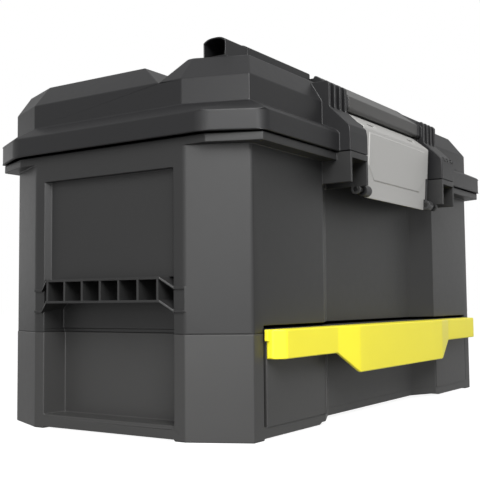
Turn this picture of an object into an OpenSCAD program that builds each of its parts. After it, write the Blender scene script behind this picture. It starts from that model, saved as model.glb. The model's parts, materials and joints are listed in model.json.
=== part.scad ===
// Tool box with a hinged lid, a front latch, a fold-down handle, a lift-out
// tray and a drawer on ball-bearing slides. Millimetres, +Z up, front to -Y.
// The origin is on the floor, under the middle of the box.

/* [Body] */
// Length of the walls, end face to end face
body_len = 469; // [450:1:500]
// Depth of the walls, front face to rear face
body_depth = 230; // [224:1:245]
// Height of the lower housing, up to the parting line
base_h = 72.6; // [72:0.2:78]
// Height of the upper housing, from the parting line to the lid
upper_h = 136.4; // [130:0.2:160]
// Thickness of the moulded walls
wall = 3; // [2.4:0.1:3.4]
// Length of a corner chamfer along the front
corner_x = 20.5; // [14:0.5:24]
// Length of a corner chamfer along the end
corner_y = 42.6; // [34:0.2:44]
// Height of the feet under the floor
foot_h = 1.2; // [0.8:0.1:3]

/* [Front recess] */
// Width of the front recess at the wall's face
recess_w = 227.6; // [220:0.2:236]
// Width of the front recess at its floor
recess_floor_w = 170; // [160:1:178]
// Depth of the front recess
recess_d = 13.5; // [10:0.5:14]
// Rise of the floor's edge between the feet of the front blocks
front_rise = 1.6; // [1:0.1:3]

/* [End faces] */
// Width of the recesses in an end face
end_recess_w = 126; // [110:1:132]
// Depth of the shallow upper panel
panel_d = 5; // [3:0.5:7]
// Gap between the upper panel and the top of the walls
panel_top_gap = 21; // [16:1:30]
// Depth of the lower hand recess
hand_d = 20; // [14:0.5:22]
// Height of the lip under the hand recess
hand_lip_h = 10.5; // [8:0.5:14]
// Height of the grip's middle above the parting line
grip_rise = 23.6; // [20:0.2:30]
// Height of the grip between its two flanges
grip_h = 16; // [12:0.5:20]
// Drop of the grip's ends below its middle
grip_drop = 7; // [4:0.5:9]
// Reach of the grip beyond the end face
grip_out = 6; // [4:0.5:7]
// Length of the grip's straight middle
grip_w = 110; // [96:1:116]
// Number of ribs in a grip
grip_ribs = 7; // [5:1:9]
// Distance from rib to rib
rib_pitch = 17.8; // [12:0.2:18]
// Thickness of ribs and grip flanges
rib_t = 1.8; // [1.4:0.1:2.4]

/* [Lid rim] */
// Gap between the lid and the body
lid_gap = 0.3; // [0.2:0.1:0.6]
// Reach of the rim beyond the end face
rim_out_x = 6; // [5.5:0.5:9]
// Reach of the rim beyond the front and rear face
rim_out_y = 14.8; // [13:0.2:15.2]
// Height of the rim
rim_h = 16.7; // [14:0.1:20]
// Size of the rim's upper edge bevel
rim_bevel = 2.4; // [1.5:0.1:3]
// Inset of the body's flange from the rim
flange_inset = 2.6; // [2:0.1:3.6]
// Thickness of the body's flange
flange_h = 9; // [7:0.5:11]

/* [Lid dome] */
// Inset of the dome's ends from the end face
dome_in_x = 3; // [2:0.5:5]
// Reach of the dome's rear wall beyond the rear face
dome_rear_out = 4; // [0:0.5:6]
// Height of the ledge between rim and dome
dome_foot_h = 6; // [4:0.5:8]
// Height of the dome's upright walls above the rim
dome_wall_h = 24.5; // [20:0.5:28]
// Height of the dome's sloping faces
dome_slope_h = 19; // [17:0.5:22]
// Inward run of the end slopes
slope_x = 17.5; // [12:0.5:22]
// Inward run of the front slope
slope_y = 11.5; // [8:0.5:14]
// Distance of the groove's bottom from the middle of the lid
groove_y = 48; // [44:1:52]
// Depth of the V-groove
groove_d = 19.5; // [16:0.5:19.5]
// Width of the groove's front wall
groove_front_w = 13.5; // [11:0.5:15]
// Width of the groove's rear wall
groove_rear_w = 27.4; // [20:0.2:30]

/* [Towers and brackets] */
// Gap between the handle and a tower
tower_gap = 8; // [6.5:0.1:9]
// Width of a tower
tower_w = 30.5; // [28:0.5:32]
// Reach of towers and brackets in front of the wall
tower_reach = 24.5; // [22:0.5:28]
// Reach of the fins in front of the wall
fin_reach = 7; // [5:0.5:9]
// Number of fins on a tower
fin_count = 4; // [3:1:5]
// Thickness of a fin
fin_t = 3; // [2:0.5:3.5]
// Height of the brackets under the towers
bracket_h = 24; // [21:0.5:28]
// Thickness of the bracket walls
bracket_t = 2.2; // [1.8:0.1:3]

/* [Latch] */
// Gap between the metal latch plate and a bracket
latch_side = 12.5; // [10:0.5:16]
// Thickness of the latch plate
latch_t = 1.5; // [1.2:0.1:2]
// Height of the latch plate's front above its pivot
latch_front_h = 53; // [50:0.5:56]
// Radius of the latch barrels
barrel_r = 4.6; // [4:0.1:5]
// Radius of the latch pins
latch_pin_r = 2; // [1.5:0.1:2.5]
// Distance of the latch pins in front of the wall
latch_pin_out = 14; // [13:0.5:15]
// Lean of the latch plate towards the front
latch_lean = 3.3; // [2:0.1:4]
// Drop of the latch pins below the top of the body
latch_pin_drop = 26; // [25:0.5:28]
// Gap between the latch's hook and the handle's bar
hook_gap = 1.8; // [1.5:0.1:4]

/* [Handle] */
// Width of the handle over its arms
handle_w = 148; // [140:1:150]
// Width of an arm
arm_w = 12.5; // [10:0.5:14]
// Distance of the handle's front face in front of the wall
handle_reach = 4; // [3:0.5:5]
// Height of the handle's bar
bar_h = 30.2; // [28:0.2:31]
// Depth of the handle's bar, front to rear
bar_d = 28.5; // [26:0.5:30]
// Depth of the pocket behind and under the bar, from the wall's face
pocket_d = 49; // [46:0.5:50]
// Distance of the handle's pivot behind the middle
pivot_y = 2; // [0:0.5:10]
// Radius of the handle's pivot knuckles
knuckle_r = 5.8; // [5.2:0.1:6]
// Radius of the handle's pivot pins
handle_pin_r = 2.5; // [2:0.1:3]

/* [Top rails] */
// Gap between the handle and a rail
rail_gap = 2.5; // [2:0.1:8]
// Inset of a rail's outer end from the top plate's end
rail_inset = 14; // [12:1:24]
// Width of a rail
rail_w = 21; // [17:0.5:22]
// Height of a rail's side walls
rail_h = 14.5; // [12:0.5:16]
// Rise of a rail's arched top
rail_arch = 3; // [2:0.2:4]
// Thickness of a rail's walls
rail_t = 1.6; // [1.2:0.1:2]

/* [Hinges] */
// Distance of a hinge from the middle
hinge_x = 150; // [130:1:165]
// Width of a hinge's middle knuckle
hinge_mid_w = 23; // [18:0.5:30]
// Width of a hinge's outer knuckles
hinge_side_w = 17.5; // [12:0.5:20]
// Radius of the hinge knuckles
hinge_r = 5.5; // [5:0.1:6]
// Radius of the hinge pins
hinge_pin_r = 2; // [1.6:0.1:2.5]
// Distance of the hinge axis behind the rear wall
hinge_out = 19; // [18.5:0.5:21]

/* [Drawer] */
// Distance of the drawer's front from the end face, at each side
drawer_side = 35.7; // [35:0.1:44]
// Gap beside the drawer's front
drawer_gap = 2.4; // [0.8:0.1:2.6]
// Gap over the drawer's front
drawer_top_gap = 2.2; // [1:0.1:4.5]
// Gap under the drawer's front
drawer_foot_gap = 0.4; // [0.3:0.1:1]
// Reach of the drawer's front beyond the wall
drawer_proud = 0.8; // [0.4:0.1:1.5]
// Height of the housing's lip under the drawer
drawer_lip_h = 9; // [8:0.5:10]
// Rise of the drawer opening above the parting line
drawer_rise = 5.2; // [4:0.1:7.5]
// Depth of the drawer box, front to rear
drawer_depth = 197; // [180:1:200]
// Height of the drawer box
drawer_h = 54; // [44:0.5:56]
// Thickness of the drawer box's walls
drawer_t = 2.2; // [1.8:0.1:2.6]
// Number of removable dividers in the drawer
divider_count = 3; // [1:1:6]
// Distance of the drawer's pull tab in front of the bar
pull_bulge = 4.6; // [3:0.1:6]
// Height of the drawer's pull bar
pull_h = 20.2; // [18:0.1:22]
// Depth of the drawer's pull bar
pull_t = 12.5; // [10:0.1:13]
// Thickness of the pull's wall over the finger space
pull_wall = 2.6; // [2:0.1:5]
// Drop of the pull tab below the bar
tab_drop = 16.3; // [12:0.1:20]

/* [Slides] */
// Length of the drawer slides
slide_len = 200; // [180:1:204]
// Travel of the drawer
slide_travel = 140; // [110:1:144]
// Height of a slide's outer channel
slide_h = 30; // [28:0.5:34]
// Thickness of a slide, wall to drawer
slide_t = 12.6; // [12:0.1:14]
// Thickness of the slides' sheet steel
sheet_t = 1.2; // [1:0.1:1.4]
// Radius of the slide balls
ball_r = 2.35; // [2:0.05:2.6]
// Number of balls in a row
ball_count = 5; // [3:1:6]
// Distance from ball to ball
ball_pitch = 12; // [8:0.5:12]

/* [Tray] */
// Length of the lift-out tray over its flange
tray_len = 210; // [180:1:220]
// Depth of the tray below its flange
tray_d = 46; // [30:1:60]
// Thickness of the tray's walls
tray_t = 2; // [1.6:0.1:2.6]
// Drop of the tray ledge below the top of the body
ledge_drop = 31; // [28:1:40]
// Height of the tray's grip above its flange
tray_grip_h = 35; // [30:1:38]

/* [Fits] */
// Radial clearance of a turning fit
run_gap = 0.05; // [0.02:0.01:0.1]
// Clearance between moving pieces
move_gap = 0.6; // [0.4:0.1:1]
// Clearance between fixed pieces
fix_gap = 0.1; // [0.05:0.05:0.2]

/* [Hidden] */
$fn = 48;
eps = 0.01;

// Colours, as moulded
body_col = [0.25, 0.25, 0.255];
lid_col = [0.21, 0.21, 0.215];
steel_col = [0.62, 0.63, 0.64];
dark_steel_col = [0.3, 0.3, 0.31];
yellow_col = [0.98, 0.93, 0.2];

// Half sizes and main levels
half_l = body_len / 2;
half_d = body_depth / 2;
top_z = base_h + upper_h;
rim_z0 = top_z + lid_gap;
rim_z1 = rim_z0 + rim_h;
bend_z = rim_z1 + dome_wall_h;
plate_z = bend_z + dome_slope_h;
deck_t = wall;
deck_gap = 2.5;
deck_z = base_h + drawer_rise + deck_gap + deck_t;
floor_z = foot_h + wall;

// A plan is [half length, front, rear, front chamfer x, y, rear chamfer x, y]
function plan_in(p, w) =
    let (f = norm([p[3], p[4]]), r = norm([p[5], p[6]]))
    [p[0] - w, p[1] - w, p[2] - w,
     p[3] - w + w * (f - p[3]) / p[4], p[4] - w + w * (f - p[4]) / p[3],
     p[5] - w + w * (r - p[5]) / p[6], p[6] - w + w * (r - p[6]) / p[5]];
function plan_pts(p) =
    [[-p[0], -p[1] + p[4]], [-p[0] + p[3], -p[1]], [p[0] - p[3], -p[1]], [p[0], -p[1] + p[4]],
     [p[0], p[2] - p[6]], [p[0] - p[5], p[2]], [-p[0] + p[5], p[2]], [-p[0], p[2] - p[6]]];

// Sizes that follow from others
arm_x1 = handle_w / 2;
arm_x0 = arm_x1 - arm_w;
bracket_in_x = arm_x1 + tower_gap;
tower_out_x = bracket_in_x + tower_w;
latch_w = 2 * (bracket_in_x - latch_side);
rail_in_x = arm_x1 + rail_gap;
rail_end_x = half_l - dome_in_x - slope_x - rail_inset;
drawer_w = body_len - 2 * drawer_side;

body_plan = [half_l, half_d, half_d, corner_x, corner_y, corner_x, corner_y];
// How much the chamfers of the lid's plans differ from the body's, [x, y]
rim_corner = [0, -4];
dome_front_corner = [-4.5, 4.4];
dome_rear_corner = [-1.5, -1.6];
plate_front_corner = [-5, -5.1];
plate_rear_corner = [-3.5, -2.6];
function corner(d) = [corner_x + d[0], corner_y + d[1]];
rim_plan = concat([half_l + rim_out_x, half_d + rim_out_y, half_d + rim_out_y],
    corner(rim_corner), corner(rim_corner));
flange_plan = plan_in(rim_plan, flange_inset);
dome_plan = concat([half_l - dome_in_x, half_d, half_d + dome_rear_out],
    corner(dome_front_corner), corner(dome_rear_corner));
plate_plan = concat([half_l - dome_in_x - slope_x, half_d - slope_y, half_d + dome_rear_out],
    corner(plate_front_corner), corner(plate_rear_corner));

// A prism on a plan
module prism(p, z0, z1) {
    translate([0, 0, z0])
        linear_extrude(z1 - z0)
            polygon(plan_pts(p));
}

// A solid between two plans at two heights
module loft(pa, za, pb, zb) {
    a = plan_pts(pa);
    b = plan_pts(pb);
    n = len(a);
    points = concat([for (q = a) [q[0], q[1], za]], [for (q = b) [q[0], q[1], zb]]);
    sides = [for (i = [0:n - 1]) let (j = (i + 1) % n)
        each [[i, n + i, n + j], [i, n + j, j]]];
    bottom = [for (i = [1:n - 2]) [0, i, i + 1]];
    top = [for (i = [1:n - 2]) [n, n + i + 1, n + i]];
    polyhedron(points, concat(sides, bottom, top));
}

// A box from its low and high corners
module block(lo, hi) {
    translate(lo)
        cube(hi - lo);
}

// A profile of points [y, z] carried along X
module along_x(x0, x1, pts) {
    translate([x0, 0, 0])
        rotate([90, 0, 90])
            linear_extrude(x1 - x0)
                polygon(pts);
}

// A cylinder along X
module rod_x(x0, x1, y, z, r) {
    translate([x0, y, z])
        rotate([0, 90, 0])
            cylinder(h = x1 - x0, r = r);
}

// Both sides of a piece drawn on the right
module both_sides() {
    children();
    mirror([1, 0, 0])
        children();
}

// The front recess's plan, grown by w at its sides and rear
module front_recess(z0, z1, w = 0, front = 1) {
    translate([0, 0, z0])
        linear_extrude(z1 - z0)
            polygon([[-recess_w / 2 - w, -half_d - front], [recess_w / 2 + w, -half_d - front],
                [recess_w / 2 + w, -half_d], [recess_floor_w / 2 + w, -half_d + recess_d + w],
                [-recess_floor_w / 2 - w, -half_d + recess_d + w],
                [-recess_w / 2 - w, -half_d]]);
}

// A recess in the right end face, with drafted sides, grown by w
draft = 3;
ledge_step_h = 2.6;
ledge_step_d = 1.2;
module end_recess(z0, z1, d, w = 0, out = 1) {
    h = end_recess_w / 2 + w;
    x0 = half_l - d - w;
    translate([0, 0, z0])
        linear_extrude(z1 - z0)
            polygon([[half_l + out, -h], [half_l, -h], [x0, -h + draft], [x0, h - draft],
                [half_l, h], [half_l + out, h]]);
}

// Heights of the end grip
grip_z1 = base_h + grip_rise + grip_h;
grip_z0 = base_h + grip_rise;
panel_z1 = top_z - panel_top_gap;
grip_end_y = half_d - corner_y;
grip_turn_y = end_recess_w / 2;
grip_in_x = half_l - hand_d + 2;
grip_end_out = 1.2;

// Lower housing

// Screw columns in the four corners
column_in = 1;
column_out = 9.6;
screw_x = half_l - corner_x - column_in;
screw_y = half_d - corner_y + column_out;
column_r = 6;
screw_r = 1.8;
screw_gap = 0.3;
head_r = 4.3;
head_h = 3.5;
socket_r = 1.8;
socket_d = 2;
seat_drop = 12.6;
screw_seat_z = base_h - seat_drop;
module corners() {
    for (sx = [-1, 1])
        for (sy = [-1, 1])
            translate([sx * screw_x, sy * screw_y, 0])
                children();
}

// The drawer's opening and the walls that carry its slides
open_x = drawer_w / 2 + drawer_gap;
runner_gap = 0.5;
runner_x = drawer_w / 2 + runner_gap;
slide_rise = 1.6;
runner_over = 5;
slide_z = (floor_z + base_h) / 2 + slide_rise;
runner_top = slide_z + slide_h / 2 + runner_over;
foot_run = 52;
foot_x = open_x;
foot_y = half_d - foot_run;

// The floor's raised edge, and how far it reaches beside and behind the recess
rise_side = 5.5;
rise_back = 14;
rise_x = recess_w / 2 + rise_side;
rise_y = -half_d + recess_d + rise_back;

module base_shell() {
    color(body_col)
    difference() {
        union() {
            difference() {
                prism(body_plan, foot_h, base_h);
                difference() {
                    prism(plan_in(body_plan, wall), floor_z, base_h + 1);
                    both_sides()
                        end_recess(0, base_h + 2, hand_d, wall);
                    front_recess(0, drawer_lip_h, wall);
                }
            }
            corners()
                translate([0, 0, foot_h])
                    cylinder(h = base_h - foot_h, r = column_r);
            both_sides()
                block([runner_x, -half_d + wall, foot_h], [runner_x + wall, half_d - wall, runner_top]);
            difference() {
                prism(body_plan, 0, foot_h + 1);
                block([-foot_x, -half_d - 1, -1], [foot_x, half_d + 1, foot_h]);
                block([-half_l - 1, -foot_y, -1], [half_l + 1, foot_y, foot_h]);
            }
            block([-rise_x - wall, -half_d + 1, foot_h + 1],
                [rise_x + wall, rise_y + wall, floor_z + front_rise]);
        }
        translate([0, rise_y, 0])
            rotate([90, 0, 0])
                linear_extrude(rise_y + half_d + 1)
                    polygon([[-rise_x - 2 * front_rise, -1], [rise_x + 2 * front_rise, -1],
                        [rise_x + 2 * front_rise, foot_h], [rise_x, foot_h + front_rise],
                        [-rise_x, foot_h + front_rise], [-rise_x - 2 * front_rise, foot_h]]);
        both_sides() {
            end_recess(hand_lip_h, base_h + 1, hand_d);
            end_recess(hand_lip_h - ledge_step_h, hand_lip_h + 1, ledge_step_d);
        }
        front_recess(-1, base_h + 1);
        block([-open_x, -half_d - 1, drawer_lip_h], [open_x, -half_d + recess_d + 2 * wall, base_h + 1]);
        corners() {
            translate([0, 0, -1])
                cylinder(h = base_h + 2, r = screw_r + screw_gap);
            translate([0, 0, -1])
                cylinder(h = screw_seat_z + 1, r = head_r + screw_gap);
        }
        slide_screw_holes();
    }
}

module shell_screws() {
    color(steel_col)
    corners() {
        translate([0, 0, screw_seat_z - head_h])
            difference() {
                cylinder(h = head_h, r = head_r);
                translate([0, 0, -1])
                    cylinder(h = socket_d + 1, r = socket_r, $fn = 6);
            }
        translate([0, 0, screw_seat_z - eps])
            cylinder(h = deck_z - deck_t + 1 - screw_seat_z, r = screw_r);
    }
}

// Upper housing

module end_grip() {
    z1 = grip_z1;
    z0 = grip_z0;
    for (z = [z1, z0])
        translate([0, 0, z - rib_t])
            grip_flange();
    for (i = [0:grip_ribs - 1])
        let (y = (i - (grip_ribs - 1) / 2) * rib_pitch)
            block([grip_in_x, y - rib_t / 2, z0 - rib_t], [half_l + grip_out, y + rib_t / 2, z1]);
}

// One flange of the grip: straight in the middle, sloping down to its ends
module grip_flange() {
    y1 = grip_w / 2;
    y2 = grip_turn_y + 1;
    x2 = half_l + grip_out;
    block([grip_in_x, -y1, 0], [x2, y1, rib_t]);
    for (s = [-1, 1])
        scale([1, s, 1]) {
            polyhedron([[grip_in_x, y1, 0], [x2, y1, 0], [half_l + grip_end_out, y2, -grip_drop],
                    [grip_in_x, y2, -grip_drop], [grip_in_x, y1, rib_t], [x2, y1, rib_t],
                    [half_l + grip_end_out, y2, rib_t - grip_drop], [grip_in_x, y2, rib_t - grip_drop]],
                [[0, 1, 2, 3], [7, 6, 5, 4], [0, 4, 5, 1], [1, 5, 6, 2], [2, 6, 7, 3], [3, 7, 4, 0]]);
            block([half_l - 1, y2 - eps, -grip_drop],
                [half_l + grip_end_out, grip_end_y, rib_t - grip_drop]);
        }
}

// The open bracket beside the latch, drawn on the right
bracket_z0 = top_z - bracket_h;
latch_pin_y = -half_d - latch_pin_out;
latch_pin_z = top_z - latch_pin_drop;
ear_wall = 2;
ear_r = latch_pin_r + ear_wall;
bracket_roof = 5;
bracket_out_x = tower_out_x - 0.5;
module bracket() {
    y0 = -half_d - tower_reach;
    difference() {
        union() {
            block([bracket_in_x, y0, bracket_z0], [bracket_out_x, -half_d + recess_d + 1, top_z]);
            rod_x(bracket_in_x, bracket_in_x + bracket_t, latch_pin_y, latch_pin_z, ear_r);
        }
        block([bracket_in_x + bracket_t, y0 - 1, bracket_z0 - 1],
            [bracket_out_x - bracket_t, -half_d + recess_d - 1, top_z - bracket_roof]);
    }
}

// A hinge knuckle's web and barrel, x0 to x1
hinge_y = half_d + hinge_out;
hinge_z = top_z + lid_gap / 2;
module body_knuckle(x0, x1) {
    rod_x(x0, x1, hinge_y, hinge_z, hinge_r);
    along_x(x0, x1, [[half_d + 2, top_z - flange_h], [hinge_y - hinge_r + 1, top_z - flange_h],
        [hinge_y, hinge_z - hinge_r], [hinge_y, hinge_z], [half_d + 2, top_z]]);
}

ledge_z = top_z - ledge_drop;
ledge_front_w = 5.5;
ledge_rear_w = 11;
ledge_y0 = -half_d + recess_d + wall + ledge_front_w;
ledge_y1 = half_d - wall - ledge_rear_w;
hinge_x0 = hinge_x - hinge_mid_w / 2;
hinge_x1 = hinge_x + hinge_mid_w / 2;

module upper_body() {
    color(body_col)
    difference() {
        union() {
            difference() {
                union() {
                    prism(body_plan, base_h, top_z);
                    prism(flange_plan, top_z - flange_h, top_z);
                }
                difference() {
                    prism(plan_in(body_plan, wall), deck_z, top_z + 1);
                    both_sides() {
                        end_recess(0, grip_z1 + wall, hand_d, wall);
                        end_recess(0, panel_z1 + wall, panel_d, wall);
                    }
                    front_recess(0, top_z - flange_h + wall, wall);
                }
                difference() {
                    prism(plan_in(body_plan, wall), base_h - 1, deck_z - deck_t);
                    both_sides()
                        end_recess(0, deck_z, hand_d, wall);
                    front_recess(0, deck_z, wall);
                }
            }
            corners()
                translate([0, 0, base_h])
                    cylinder(h = deck_z - base_h, r = column_r);
            intersection() {
                prism(plan_in(body_plan, 1), ledge_z - wall, ledge_z);
                union() {
                    block([-half_l, -half_d, ledge_z - wall], [half_l, ledge_y0, ledge_z]);
                    block([-half_l, ledge_y1, ledge_z - wall], [half_l, half_d, ledge_z]);
                }
            }
        }
        both_sides() {
            end_recess(base_h - 1, grip_z0 - rib_t, hand_d - 2);
            end_recess(base_h - 1, base_h + ledge_step_h, hand_d - 2 + ledge_step_d);
            end_recess(grip_z0 - rib_t - grip_drop, grip_z1, hand_d - 2);
            end_recess(grip_z1 - grip_drop, panel_z1, panel_d);
        }
        front_recess(base_h - 1, top_z - flange_h);
        block([-open_x, -half_d - 1, base_h - 1],
            [open_x, -half_d + recess_d + 2 * wall, base_h + drawer_rise]);
        corners()
            translate([0, 0, base_h - 1])
                cylinder(h = deck_z - deck_t + 2 - base_h + 1, r = screw_r + run_gap);
        block([-bracket_in_x, -half_d - rim_out_y - 1, top_z - flange_h - 1],
            [bracket_in_x, -half_d, top_z + 1]);
    }
    color(body_col)
    both_sides() {
        end_grip();
        difference() {
            bracket();
            rod_x(bracket_in_x - 1, bracket_in_x + bracket_t + 1, latch_pin_y, latch_pin_z,
                latch_pin_r + fix_gap / 2);
        }
        difference() {
            union() {
                body_knuckle(hinge_x0 - hinge_side_w, hinge_x0 - move_gap / 2);
                body_knuckle(hinge_x1 + move_gap / 2, hinge_x1 + hinge_side_w);
            }
            rod_x(hinge_x0 - hinge_side_w - 1, hinge_x1 + hinge_side_w + 1, hinge_y, hinge_z,
                hinge_pin_r + fix_gap / 2);
        }
    }
}

module latch_pins() {
    color(dark_steel_col)
    both_sides()
        rod_x(barrel_x0 + fix_gap, bracket_in_x + bracket_t, latch_pin_y, latch_pin_z, latch_pin_r);
}

module hinge_pins() {
    color(steel_col)
    both_sides()
        rod_x(hinge_x0 - hinge_side_w, hinge_x1 + hinge_side_w, hinge_y, hinge_z, hinge_pin_r);
}

// Lid

// The towers' side profile
tower_y = -half_d - tower_reach;
fin_y = -half_d - fin_reach;
tower_drop = 3;
knee_rise = 3.5;
crease_drop = 5.7;
crease_lean = 0.9;
fold_drop = 4.5;
fin_bevel = 2.4;
tower_top = plate_z - tower_drop;
tower_knee = rim_z1 + knee_rise;
tower_crease = tower_knee - crease_drop;
tower_fold = bend_z - fold_drop;
bay_d = 3.5;
bay_y = -half_d + bay_d;
pocket_drop = 6.5;
pocket_z = bend_z - pocket_drop;
pocket_y = -half_d + pocket_d;
pocket_gap = 1.5;
pocket_x = arm_x1 + pocket_gap;
module tower() {
    along_x(bracket_in_x, tower_out_x, [[-half_d + slope_y + 2, rim_z0], [tower_y, rim_z0],
        [tower_y, tower_crease], [tower_y + crease_lean, tower_knee], [fin_y, tower_fold],
        [fin_y, tower_top - fin_bevel], [fin_y + fin_bevel, tower_top],
        [-half_d + slope_y + 2, tower_top]]);
    along_x(pocket_x, bracket_in_x + 1, bar_pts);
}

// The gaps between the fins, which end just above the dome's slope
slot_h = 4;
slot_d = 3;
slot_rise = 1.5;
fin_pitch = (tower_w - fin_t) / (fin_count - 1);
module fin_gaps() {
    gap_top = plate_z + 5;
    back_y = -half_d - 0.2;
    run = slope_y * (gap_top - bend_z) / dome_slope_h;
    for (i = [0:fin_count - 2])
        let (x0 = bracket_in_x + i * fin_pitch + fin_t, x1 = bracket_in_x + (i + 1) * fin_pitch) {
            along_x(x0, x1, [[fin_y - 1, tower_fold - 2], [back_y, tower_fold - 2],
                [back_y, bend_z], [back_y + run, gap_top], [fin_y - 1, gap_top]]);
        }
}

// Three short slots in the front of the right tower, over its crease
module tower_slots() {
    for (i = [1:fin_count - 1])
        let (x1 = bracket_in_x + i * fin_pitch + fin_t)
            block([x1 - 1 - fin_pitch / 2, tower_y - 1, tower_knee + slot_rise - slot_h],
                [x1 - 1, tower_y + slot_d, tower_knee + slot_rise]);
}

// The hollow inside a tower
module tower_hollow() {
    along_x(bracket_in_x + wall, tower_out_x - wall, [[-half_d + slope_y + 4, rim_z0 - 1],
        [tower_y + wall, rim_z0 - 1], [tower_y + wall, tower_crease],
        [tower_y + wall + slot_d, tower_crease], [tower_y + wall + slot_d, tower_knee - 1],
        [fin_y + 1, tower_fold - 5], [-half_d + slope_y + 4, tower_fold - 5]]);
}

// The V-groove, or the solid that holds it when w is its wall
module groove(w = 0) {
    over = 6;
    f = w * norm([groove_front_w, groove_d]) / groove_front_w;
    r = w * norm([groove_rear_w, groove_d]) / groove_rear_w;
    kf = groove_d / groove_front_w;
    kr = groove_d / groove_rear_w;
    z = plate_z - groove_d;
    dy = (r - f) / (kf + kr);
    z_tip = z - f - kf * dy;
    z_top = plate_z + over;
    along_x(-half_l - 10, half_l + 10, [[-groove_y + dy, z_tip],
        [-groove_y + (z_top - z + r) / kr, z_top], [-groove_y - (z_top - z + f) / kf, z_top]]);
}

module lid_outer() {
    prism(rim_plan, rim_z0, rim_z1 - rim_bevel);
    loft(rim_plan, rim_z1 - rim_bevel, plan_in(rim_plan, rim_bevel), rim_z1);
    loft(plan_in(rim_plan, rim_bevel), rim_z1, dome_plan, rim_z1 + dome_foot_h);
    prism(dome_plan, rim_z1, bend_z);
    loft(dome_plan, bend_z, plate_plan, plate_z);
}

module lid_hollow() {
    difference() {
        union() {
            prism(plan_in(rim_plan, wall), rim_z0 - 1, rim_z1 - wall);
            prism(plan_in(dome_plan, wall), rim_z0 - 1, bend_z);
            loft(plan_in(dome_plan, wall), bend_z - eps, plan_in(plate_plan, wall), plate_z - wall);
        }
        block([-bracket_in_x - wall, tower_y, rim_z0 - 2], [bracket_in_x + wall, bay_y + wall, plate_z]);
        block([-pocket_x - wall, tower_y, pocket_z - wall], [pocket_x + wall, pocket_y + wall, plate_z]);
        groove(wall);
    }
    both_sides()
        tower_hollow();
}

// Ears for the handle's pins, on the plate behind the groove
pivot_gap = 1.2;
pivot_z = plate_z + knuckle_r + pivot_gap;
ear_t = 5;
module pivot_ear(x0) {
    rod_x(x0, x0 + ear_t, pivot_y, pivot_z, knuckle_r);
    block([x0, pivot_y - knuckle_r, plate_z - 1], [x0 + ear_t, pivot_y + knuckle_r, pivot_z]);
}

module lid_knuckle() {
    x0 = hinge_x0 + move_gap / 2;
    x1 = hinge_x1 - move_gap / 2;
    rod_x(x0, x1, hinge_y, hinge_z, hinge_r);
    along_x(x0, x1, [[half_d + rim_out_y - 1, rim_z0], [hinge_y, hinge_z],
        [hinge_y + hinge_r * 0.6, hinge_z + hinge_r * 0.8], [half_d + rim_out_y - 1, rim_z1 - 3]]);
}

module lid_shell() {
    color(lid_col)
    difference() {
        union() {
            difference() {
                union() {
                    lid_outer();
                    both_sides()
                        tower();
                }
                lid_hollow();
            }
            both_sides() {
                pivot_ear(arm_x1 + move_gap);
                pivot_ear(arm_x0 - move_gap - ear_t);
                lid_knuckle();
            }
        }
        groove();
        block([-bracket_in_x, tower_y - 1, rim_z0 - 1], [bracket_in_x, bay_y, pocket_z]);
        block([-pocket_x, tower_y - 1, pocket_z], [pocket_x, pocket_y, plate_z + 20]);
        tower_slots();
        both_sides() {
            fin_gaps();
            rod_x(arm_x0 - 10, arm_x1 + 10, pivot_y, pivot_z, handle_pin_r + fix_gap / 2);
            rod_x(hinge_x0 - 1, hinge_x1 + 1, hinge_y, hinge_z, hinge_pin_r + run_gap);
            rod_x(hinge_x0 - hinge_side_w - move_gap, hinge_x0 + move_gap / 2, hinge_y, hinge_z,
                hinge_r + move_gap);
            rod_x(hinge_x1 - move_gap / 2, hinge_x1 + hinge_side_w + move_gap, hinge_y, hinge_z,
                hinge_r + move_gap);
        }
    }
}

// Top rails: an arched channel, open below and at its ends

rail_set = 2.6;
rail_y1 = -groove_y - groove_front_w - rail_set;
rail_y0 = rail_y1 - rail_w;
rail_step = 28;
rail_step_in = 0.5;
rail_foot = 2;
rail_foot_t = 1.2;
arch_fullness = 3;
function arch(y0, y1, z, rise, n = 14) =
    [for (i = [0:n]) let (u = sin(90 - 180 * i / n))
        [(y0 + y1) / 2 + u * (y1 - y0) / 2, z + rise * (1 - pow(abs(u), arch_fullness))]];
module channel(x0, x1, g) {
    difference() {
        along_x(x0, x1, concat([[rail_y0 + g, plate_z], [rail_y1 - g, plate_z]],
            arch(rail_y0 + g, rail_y1 - g, plate_z + rail_h - g, rail_arch)));
        along_x(x0 - 1, x1 + 1, concat([[rail_y0 + rail_t, plate_z - 1], [rail_y1 - rail_t, plate_z - 1]],
            arch(rail_y0 + rail_t, rail_y1 - rail_t, plate_z + rail_h - rail_t, rail_arch)));
    }
}
module rail() {
    channel(rail_in_x, rail_end_x - rail_step + eps, 0);
    channel(rail_end_x - rail_step, rail_end_x, rail_step_in);
    block([rail_in_x, rail_y0 - rail_foot, plate_z],
        [rail_end_x + rail_foot, rail_y0 + rail_t, plate_z + rail_foot]);
    block([rail_end_x - 1, rail_y0 - rail_foot, plate_z],
        [rail_end_x + rail_foot, rail_y1, plate_z + rail_foot_t]);
}
module rail_left() {
    color(lid_col)
    mirror([1, 0, 0])
        rail();
}
module rail_right() {
    color(lid_col)
    rail();
}

// Handle

// The bar's outline, and that of the core inside the grip's sleeve
bar_y0 = -half_d - handle_reach;
bar_y1 = bar_y0 + bar_d;
bar_sink = 0.5;
bar_z0 = bend_z - bar_sink;
bar_z1 = bar_z0 + bar_h;
core_in = 4;
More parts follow.
